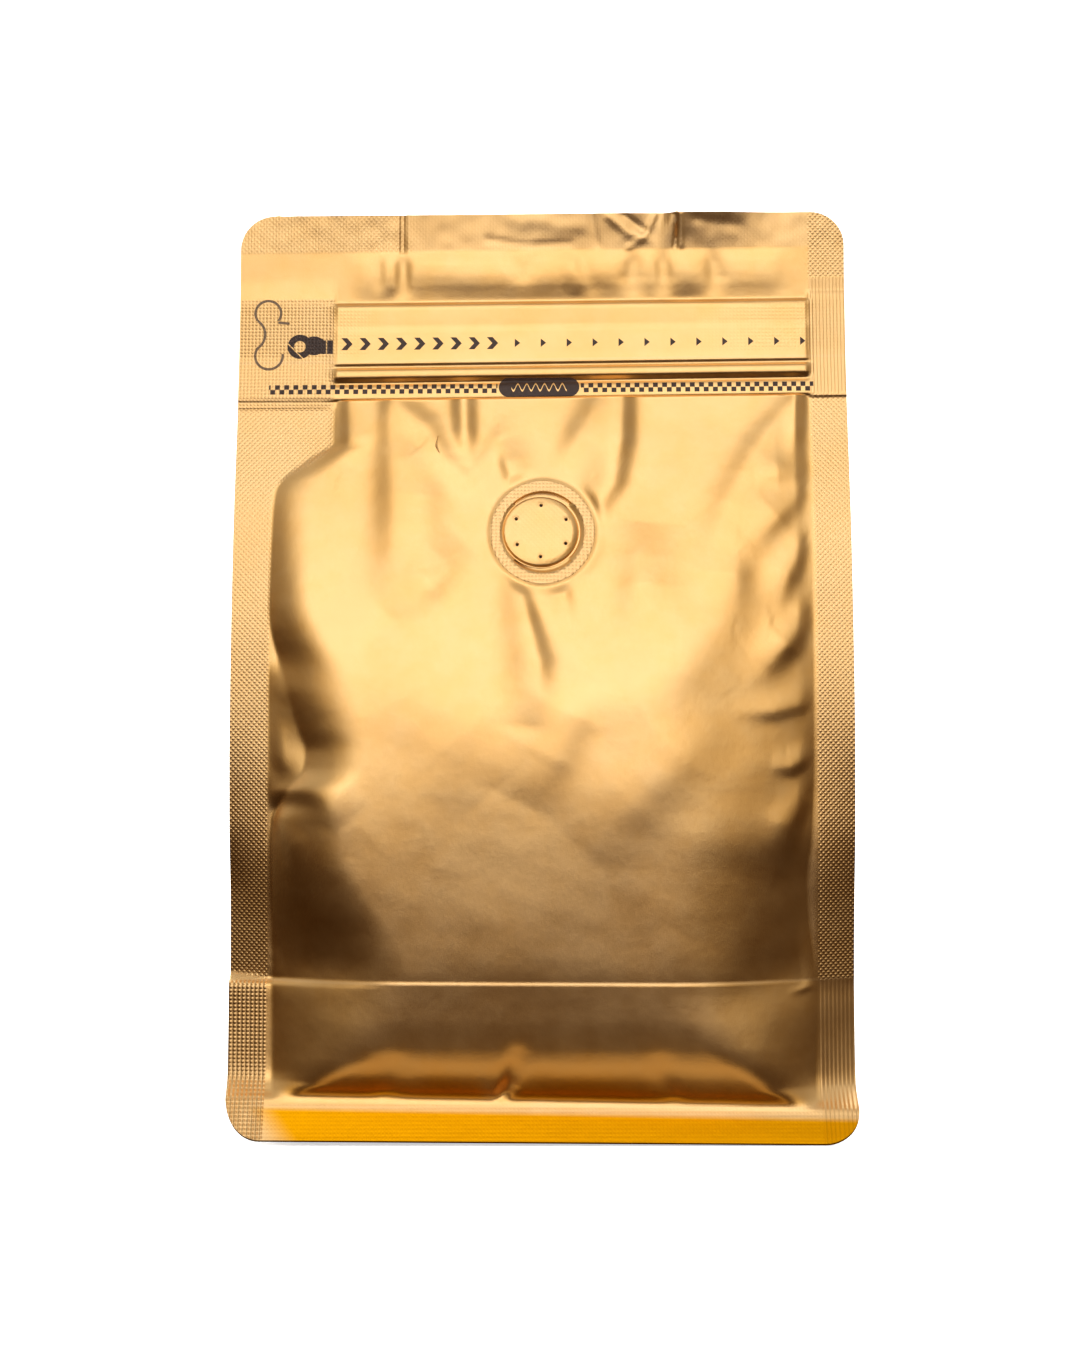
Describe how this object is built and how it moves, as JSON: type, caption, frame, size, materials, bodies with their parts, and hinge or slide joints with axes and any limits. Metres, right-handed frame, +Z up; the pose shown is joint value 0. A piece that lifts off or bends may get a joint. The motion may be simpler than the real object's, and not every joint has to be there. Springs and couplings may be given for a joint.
{
  "type": "flat-bottom coffee pouch",
  "caption": "Gold foil flat-bottom coffee pouch, filled and sealed shut, with folded side gussets, a press-to-close zipper under a tear strip and pull tab, and a round degassing valve.",
  "frame": {"origin": "middle of the flat base, on the surface the pouch stands on", "axes": "+Z up along the pouch's height, -Y out of the front panel with the valve, +X towards the viewer's right hand when looking at the front"},
  "size_m": [0.13, 0.0822, 0.196],
  "materials": {
    "foil_film": "satin gold metallised film",
    "valve_film": "satin gold metallised film over a moulded disc"
  },
  "bodies": {
    "root": {"pouch": "foil_film", "valve": "valve_film"}
  },
  "joints": []
}
